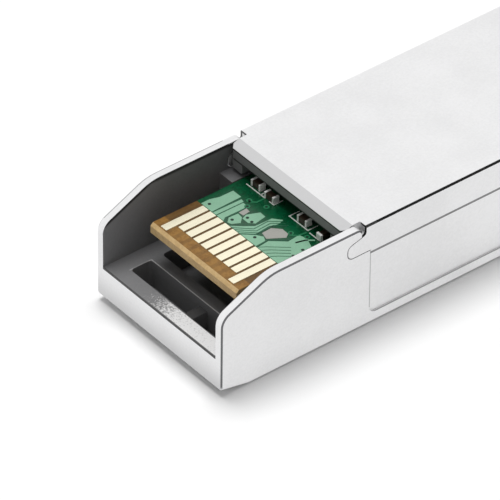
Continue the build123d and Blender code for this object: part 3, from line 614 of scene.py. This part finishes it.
def build_chip_nodes(name, body_material, end_material):
    """Nodes that set one small part with two plated ends on each point."""
    group = bpy.data.node_groups.new(name, "GeometryNodeTree")
    group.interface.new_socket(name="Geometry", in_out="INPUT", socket_type="NodeSocketGeometry")
    for socket_name in ("Length", "Width", "Height", "End Length"):
        group.interface.new_socket(name=socket_name, in_out="INPUT", socket_type=FLOAT)
    group.interface.new_socket(name="Geometry", in_out="OUTPUT", socket_type="NodeSocketGeometry")
    given = group.nodes.new("NodeGroupInput").outputs
    result = group.nodes.new("NodeGroupOutput").inputs

    def combined(*values):
        node = group.nodes.new("ShaderNodeCombineXYZ")
        for socket, value in zip(node.inputs, values):
            if value is not None:
                link(group, value, socket)
        return node.outputs[0]

    def cube(length, shrink, material, shift=None):
        width, height = (math_node(group, "MULTIPLY", given[side], shrink) for side in ("Width", "Height"))
        block = group.nodes.new("GeometryNodeMeshCube")
        link(group, combined(length, width, height), block.inputs["Size"])
        paint = group.nodes.new("GeometryNodeSetMaterial")
        paint.inputs["Material"].default_value = material
        link(group, block.outputs["Mesh"], paint.inputs["Geometry"])
        if shift is None:
            return paint.outputs[0]
        move = group.nodes.new("GeometryNodeTransform")
        link(group, paint.outputs[0], move.inputs["Geometry"])
        link(group, combined(shift), move.inputs["Translation"])
        return move.outputs[0]

    reach = math_node(group, "SUBTRACT", given["Length"], given["End Length"])
    reach = math_node(group, "MULTIPLY", reach, 0.5)
    both_ends = math_node(group, "MULTIPLY", given["End Length"], 1.9)
    middle_length = math_node(group, "SUBTRACT", given["Length"], both_ends)
    join = group.nodes.new("GeometryNodeJoinGeometry")
    for part in (
        cube(middle_length, 0.92, body_material),
        cube(given["End Length"], 1.0, end_material, reach),
        cube(given["End Length"], 1.0, end_material, math_node(group, "MULTIPLY", reach, -1.0)),
    ):
        link(group, part, join.inputs[0])
    turn = group.nodes.new("GeometryNodeInputNamedAttribute")
    turn.data_type = "FLOAT"
    turn.inputs["Name"].default_value = "turn"
    place = group.nodes.new("GeometryNodeInstanceOnPoints")
    link(group, given["Geometry"], place.inputs["Points"])
    link(group, join.outputs[0], place.inputs["Instance"])
    link(group, combined(None, None, turn.outputs["Attribute"]), place.inputs["Rotation"])
    real = group.nodes.new("GeometryNodeRealizeInstances")
    link(group, place.outputs[0], real.inputs[0])
    link(group, real.outputs[0], result[0])
    return group


def place_chips(name, node_name, body_material):
    boxes = solid_boxes(nodes[node_name])
    points = bpy.data.meshes.new(name + "_points")
    points.from_pydata([middle for middle, size in boxes], [], [])
    turns = points.attributes.new("turn", "FLOAT", "POINT")
    turns.data.foreach_set("value", [math.pi / 2 if size.y > size.x else 0.0 for middle, size in boxes])
    piece = bpy.data.objects.new(name, points)
    bpy.context.scene.collection.objects.link(piece)
    first_size = boxes[0][1]
    length, width = max(first_size.xy), min(first_size.xy)
    group = build_chip_nodes(name + "_nodes", body_material, tin_plate)
    modifier = piece.modifiers.new("chips", "NODES")
    modifier.node_group = group
    values = {"Length": length, "Width": width, "Height": first_size.z, "End Length": END_SHARE * length}
    for item in group.interface.items_tree:
        if item.in_out == "INPUT" and item.name in values:
            modifier[item.identifier] = values[item.name]
    bpy.context.view_layer.update()
    ready = piece.evaluated_get(bpy.context.evaluated_depsgraph_get())
    mesh = bpy.data.meshes.new_from_object(ready)
    piece.modifiers.clear()
    piece.data = mesh
    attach(piece, "housing")
    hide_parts(node_name)


place_chips("capacitors", "chip_capacitors", capacitor_body)
place_chips("resistors", "chip_resistors", resistor_body)


# Floor and light

FLOOR_HALF = 2.0
FLOOR_TONE = 0.93
AMBIENT = 0.37
LAMP_PLACE = (0.03, 0.11, 0.60)
LAMP_SIZE = 0.38
LAMP_POWER = 3.15


def mirrored_once(tree):
    """1 for what the camera sees mirrored in the metal, 0 for light on matt faces."""
    light_path = tree.nodes.new("ShaderNodeLightPath")
    no_bounce = math_node(tree, "LESS_THAN", light_path.outputs["Diffuse Depth"], 0.5)
    return math_node(tree, "MULTIPLY", light_path.outputs["Is Glossy Ray"], no_bounce)


def floor_material():
    """Matt white that keeps the object's shadow, and is an almost even white where the metal mirrors it."""
    material, tree, shader, coordinates = new_material("white_floor", roughness=0.9)
    shader.inputs["Base Color"].default_value = (*grey(FLOOR_TONE), 1.0)
    shader.inputs["Specular IOR Level"].default_value = 0.1
    glow = tree.nodes.new("ShaderNodeEmission")
    glow.inputs["Strength"].default_value = 0.95
    blend = tree.nodes.new("ShaderNodeMixShader")
    link(tree, math_node(tree, "MULTIPLY", mirrored_once(tree), 0.75), blend.inputs[0])
    link(tree, shader.outputs[0], blend.inputs[1])
    link(tree, glow.outputs[0], blend.inputs[2])
    link(tree, blend.outputs[0], tree.nodes["Material Output"].inputs["Surface"])
    return material


floor_mesh = bpy.data.meshes.new("floor")
floor_corners = [(x * FLOOR_HALF, y * FLOOR_HALF, 0) for x, y in ((-1, -1), (1, -1), (1, 1), (-1, 1))]
floor_mesh.from_pydata(floor_corners, [], [(0, 1, 2, 3)])
floor = bpy.data.objects.new("floor", floor_mesh)
bpy.context.scene.collection.objects.link(floor)
floor_mesh.materials.append(floor_material())

# The world is plain white to the camera and the metal, and lights matt faces less, so shadows stay deep
world = bpy.data.worlds.new("studio")
bpy.context.scene.world = world
world.use_nodes = True
world_tree = world.node_tree
background = world_tree.nodes["Background"]
light_path = world_tree.nodes.new("ShaderNodeLightPath")
seen = math_node(world_tree, "MAXIMUM", light_path.outputs["Is Camera Ray"], mirrored_once(world_tree))
seen = math_node(world_tree, "MAXIMUM", seen, light_path.outputs["Is Transmission Ray"])
background.inputs["Color"].default_value = (1.0, 1.0, 1.0, 1.0)
strength = math_node(world_tree, "MULTIPLY_ADD", seen, 1.0 - AMBIENT, AMBIENT)
link(world_tree, strength, background.inputs["Strength"])

lamp_data = bpy.data.lights.new("overhead_lamp", "AREA")
lamp_data.shape = "DISK"
lamp_data.size = LAMP_SIZE
lamp_data.energy = LAMP_POWER
lamp = bpy.data.objects.new("overhead_lamp", lamp_data)
lamp.location = LAMP_PLACE
lamp.rotation_euler = (-Vector(LAMP_PLACE)).to_track_quat("-Z", "Y").to_euler()
lamp.visible_glossy = False
bpy.context.scene.collection.objects.link(lamp)


# Camera, fitted to the photo with the body's width as its scale

CAMERA_AZIMUTH = math.radians(-39.11)
CAMERA_ELEVATION = math.radians(38.47)
CAMERA_ROLL = math.radians(0.69)
CAMERA_DISTANCE = 0.4634
CAMERA_LENS = 498.5
SHIFT_RIGHT = -0.00019
SHIFT_UP = 0.00031

back = Vector((
    math.sin(CAMERA_AZIMUTH) * math.cos(CAMERA_ELEVATION),
    -math.cos(CAMERA_AZIMUTH) * math.cos(CAMERA_ELEVATION),
    math.sin(CAMERA_ELEVATION),
))
level_right = (-back).cross(Vector((0, 0, 1))).normalized()
level_up = level_right.cross(-back)
right = level_right * math.cos(CAMERA_ROLL) + level_up * math.sin(CAMERA_ROLL)
up = level_up * math.cos(CAMERA_ROLL) - level_right * math.sin(CAMERA_ROLL)
camera_data = bpy.data.cameras.new("photo_camera")
camera_data.lens = CAMERA_LENS
camera_data.sensor_width = 36.0
camera_data.clip_start = 0.01
camera_data.clip_end = 50.0
camera = bpy.data.objects.new("photo_camera", camera_data)
eye = spot(8.0, 0.0, 4.0) + right * SHIFT_RIGHT + up * SHIFT_UP + back * CAMERA_DISTANCE
camera.matrix_world = Matrix((
    (right.x, up.x, back.x, eye.x),
    (right.y, up.y, back.y, eye.y),
    (right.z, up.z, back.z, eye.z),
    (0, 0, 0, 1),
))
bpy.context.scene.collection.objects.link(camera)
bpy.context.scene.camera = camera
bpy.context.scene.view_settings.view_transform = "Standard"
